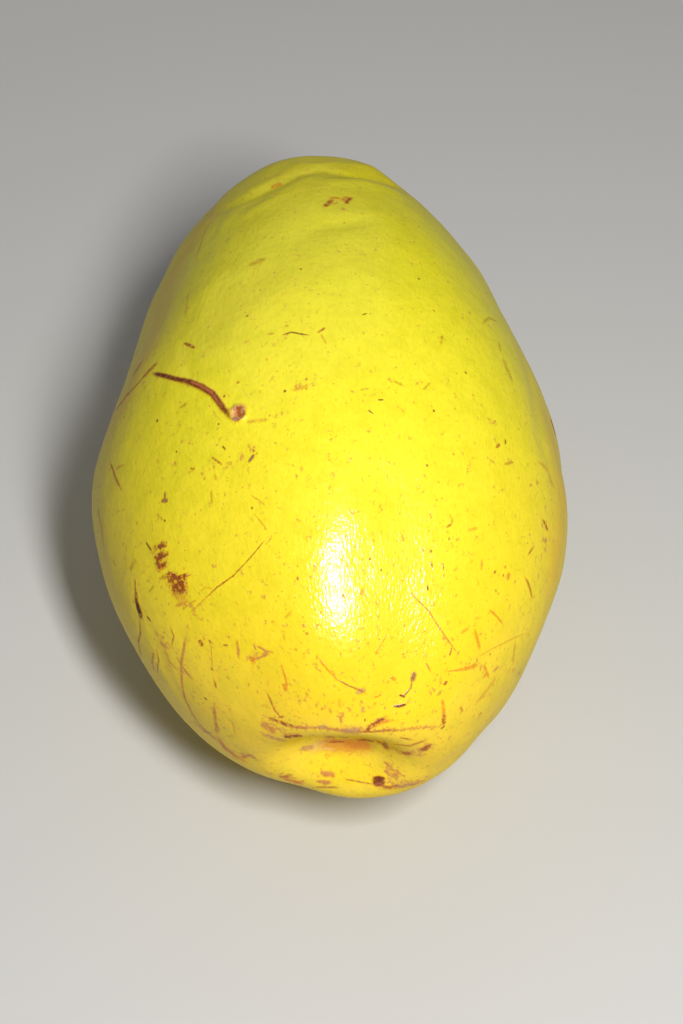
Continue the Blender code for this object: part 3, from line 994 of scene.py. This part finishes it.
def with_grain(tree, ground, place, rind, pore):
    """The ground with its mottling, fine grain and pores."""
    mottle = noise_of(tree, place, "mottle")
    ground = laid(tree, "dark mottle", mottle, ground)
    ground = laid(tree, "light mottle", mottle, ground)
    ground = laid(tree, "grain", noise_of(tree, rind, "grain"), ground)
    return mixed(tree, pore, ground, PORE_COLOUR)


def with_russet(tree, ground, place, rind, turn, ends):
    """The ground with streaks of russet and the wood at both ends, and with the stains."""
    streaks = noise_of(tree, rind, "streaks")
    ground = laid(tree, "calyx russet", streaks, ground, ends[0])
    ground = laid(tree, "stem russet", streaks, ground, ends[1])
    wood = laid(tree, "fibres", noise_of(tree, place, "fibres"), WOOD_COLOUR)
    ground = mixed(tree, ends[2], ground, wood)
    stain = calc(tree, "MAXIMUM", written(tree, "stain")["Fac"],
                 ramp_down(tree, turn, *CALYX_STAIN_RAMP))
    level = plus(tree, noise_of(tree, rind, "specks"), times(tree, stain, STAIN_PULL))
    return laid(tree, "stain", level, ground)


def with_marks(tree, ground, place, scarred):
    """The ground with the two nearest marks, and where the skin is scarred."""
    ragged = minus(tree, noise_of(tree, place, "ragged"), 0.5)
    patchy = ramp_down(tree, noise_of(tree, place, "patchy"), *PATCHY_RAMP)
    for slot in range(2):
        across, along, raggedness = parts_of(tree, written(tree, f"mark_place_{slot}")["Vector"])
        look = written(tree, f"mark_colour_{slot}")
        across = calc(tree, "POWER", calc(tree, "ABSOLUTE", across), 2.0)
        along = calc(tree, "POWER", calc(tree, "ABSOLUTE", along), MARK_BLUNTNESS)
        wobble = times(tree, times(tree, ragged, raggedness), MARK_WOBBLE)
        edge = plus(tree, calc(tree, "SQRT", plus(tree, across, along)), wobble)
        ground = laid(tree, "halo", edge, ground, look["Alpha"], "MULTIPLY")
        mask = times(tree, ramp_down(tree, edge, *MARK_RAMP), look["Alpha"])
        mask = times(tree, mask, minus(tree, 1.0, times(tree, patchy, raggedness)))
        ground = mixed(tree, mask, ground, look["Color"])
        scarred = calc(tree, "MAXIMUM", scarred, mask)
    return ground, scarred


def fine_relief(tree, place, rind, scarred, pore):
    """Normals of the skin and of its wax."""
    wrinkles = noise_of(tree, rind, "wrinkles")
    bulges = noise_of(tree, place, "bulges")
    crumbs = times(tree, scarred, times(tree, noise_of(tree, place, "crumbs"), CRUMB_HEIGHT))
    relief = plus(tree, times(tree, wrinkles, WRINKLE_HEIGHT), times(tree, bulges, BULGE_HEIGHT))
    relief = minus(tree, plus(tree, relief, crumbs), times(tree, pore, PORE_DEPTH))
    waxy_relief = plus(tree, relief, times(tree, wrinkles, WAX_WRINKLE_HEIGHT))
    return [add_node(tree, "Bump", {"Distance": MM, "Height": height}).outputs[0]
            for height in (relief, waxy_relief)]


def skin_material():
    material = bpy.data.materials.new("quince_skin")
    material.use_nodes = True
    tree = material.node_tree
    shader = tree.nodes["Principled BSDF"]
    rind = written(tree, "rind")["Vector"]
    ends = parts_of(tree, written(tree, "ends")["Vector"])
    place = stretched(tree, add_node(tree, "TexCoord").outputs["Object"], (1000, 1000, 1000))
    turn = calc(tree, "DIVIDE", parts_of(tree, rind)[2], MERIDIAN_MM * math.pi)
    spacing = add_node(tree, "TexVoronoi", {"Vector": place, "Scale": 1 / PORE_SPACING_MM})
    pored = ramp_down(tree, noise_of(tree, place, "pored"), *PORED_RAMP)
    pore = times(tree, ramp_down(tree, spacing.outputs["Distance"], *PORE_RAMP), pored)

    ground = ground_colour(tree, place, turn, ends)
    ground = with_grain(tree, ground, place, rind, pore)
    ground = with_russet(tree, ground, place, rind, turn, ends)
    ground, scarred = with_marks(tree, ground, place, ends[2])
    bump, waxy_bump = fine_relief(tree, place, rind, scarred, pore)
    roughness = plus(tree, SKIN_ROUGHNESS, times(tree, scarred, SCAR_EXTRA_ROUGHNESS))

    tree.links.new(ground, shader.inputs["Base Color"])
    tree.links.new(roughness, shader.inputs["Roughness"])
    tree.links.new(bump, shader.inputs["Normal"])
    tree.links.new(waxy_bump, shader.inputs["Coat Normal"])
    shader.inputs["Specular IOR Level"].default_value = SPECULAR_LEVEL
    shader.inputs["Coat Weight"].default_value = COAT_WEIGHT
    shader.inputs["Coat IOR"].default_value = COAT_IOR
    shader.inputs["Coat Roughness"].default_value = COAT_ROUGHNESS
    return material


def make_skin():
    """The fruit's whole skin. Also gives the fruit's middle and the camera's pose."""
    net = make_net()
    shift = resting_shift(fruit_points(directions_of(net)))
    middle = Vector(shift)
    surface = net_surface(net, shift)
    pose = camera_pose(middle)
    split_near(net, shift, [seen_route(surface, pose, pixels) for _, _, pixels in RAISED])
    mesh, directions = mesh_from_net(net, shift)
    lift_skin(mesh, surface, pose, shift)
    lay_rind(mesh, directions, shift)
    lay_patches(mesh, surface, pose, "stain", STAINS)
    # Golden tint with painted edge shade along both outlines of the fruit
    lay_patches(mesh, surface, pose, "golden_edge_shade", GOLDEN_EDGE_SHADES)
    marks = [*seen_marks(surface, pose), *scattered_flecks(mesh, middle),
             *hidden_strokes(mesh, surface, pose, middle)]
    lay_marks(mesh, surface, marks)
    mesh.materials.append(skin_material())
    skin = bpy.data.objects.new("fruit_skin", mesh)
    bpy.context.scene.collection.objects.link(skin)
    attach(skin, "root")
    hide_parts("fruit")
    return middle, pose


def make_camera(pose):
    camera = bpy.data.objects.new("camera", bpy.data.cameras.new("camera"))
    camera.data.sensor_fit = "VERTICAL"
    camera.data.sensor_height = SENSOR_HEIGHT
    camera.data.lens = LENS
    camera.location = pose.place
    camera.rotation_euler = pose.turn.to_euler()
    bpy.context.scene.collection.objects.link(camera)
    bpy.context.scene.camera = camera


def add_light(name, place, target, size, watts):
    """Oblong light, so wide and so tall, that faces the target."""
    light = bpy.data.objects.new(name, bpy.data.lights.new(name, "AREA"))
    light.data.shape = "RECTANGLE"
    light.data.size, light.data.size_y = size
    light.data.energy = watts
    light.location = place
    light.rotation_euler = (place - target).to_track_quat("Z", "Y").to_euler()
    bpy.context.scene.collection.objects.link(light)


def make_floor():
    bpy.ops.mesh.primitive_plane_add(size=FLOOR_SIZE)
    floor = bpy.context.object
    floor.name = "floor"
    paint = bpy.data.materials.new("floor")
    paint.use_nodes = True
    shader = paint.node_tree.nodes["Principled BSDF"]
    shader.inputs["Base Color"].default_value = FLOOR_COLOUR
    shader.inputs["Roughness"].default_value = FLOOR_ROUGHNESS
    floor.data.materials.append(paint)


def make_light(middle, pose):
    """The key light beside the lens, the soft light above and behind, and an even fill."""
    beside_lens = pose.place + pose.turn @ Vector((KEY_RIGHT, KEY_UP, 0.0))
    add_light("key", beside_lens, middle, KEY_SIZE, KEY_WATTS)
    add_light("top", Vector(TOP_PLACE), middle, TOP_SIZE, TOP_WATTS)
    world = bpy.data.worlds.new("studio")
    world.use_nodes = True
    background = world.node_tree.nodes["Background"]
    background.inputs["Color"].default_value = (1.0, 1.0, 1.0, 1.0)
    background.inputs["Strength"].default_value = FILL_STRENGTH
    bpy.context.scene.world = world
    bpy.context.scene.view_settings.view_transform = "Standard"


middle, pose = make_skin()
make_camera(pose)
make_floor()
make_light(middle, pose)
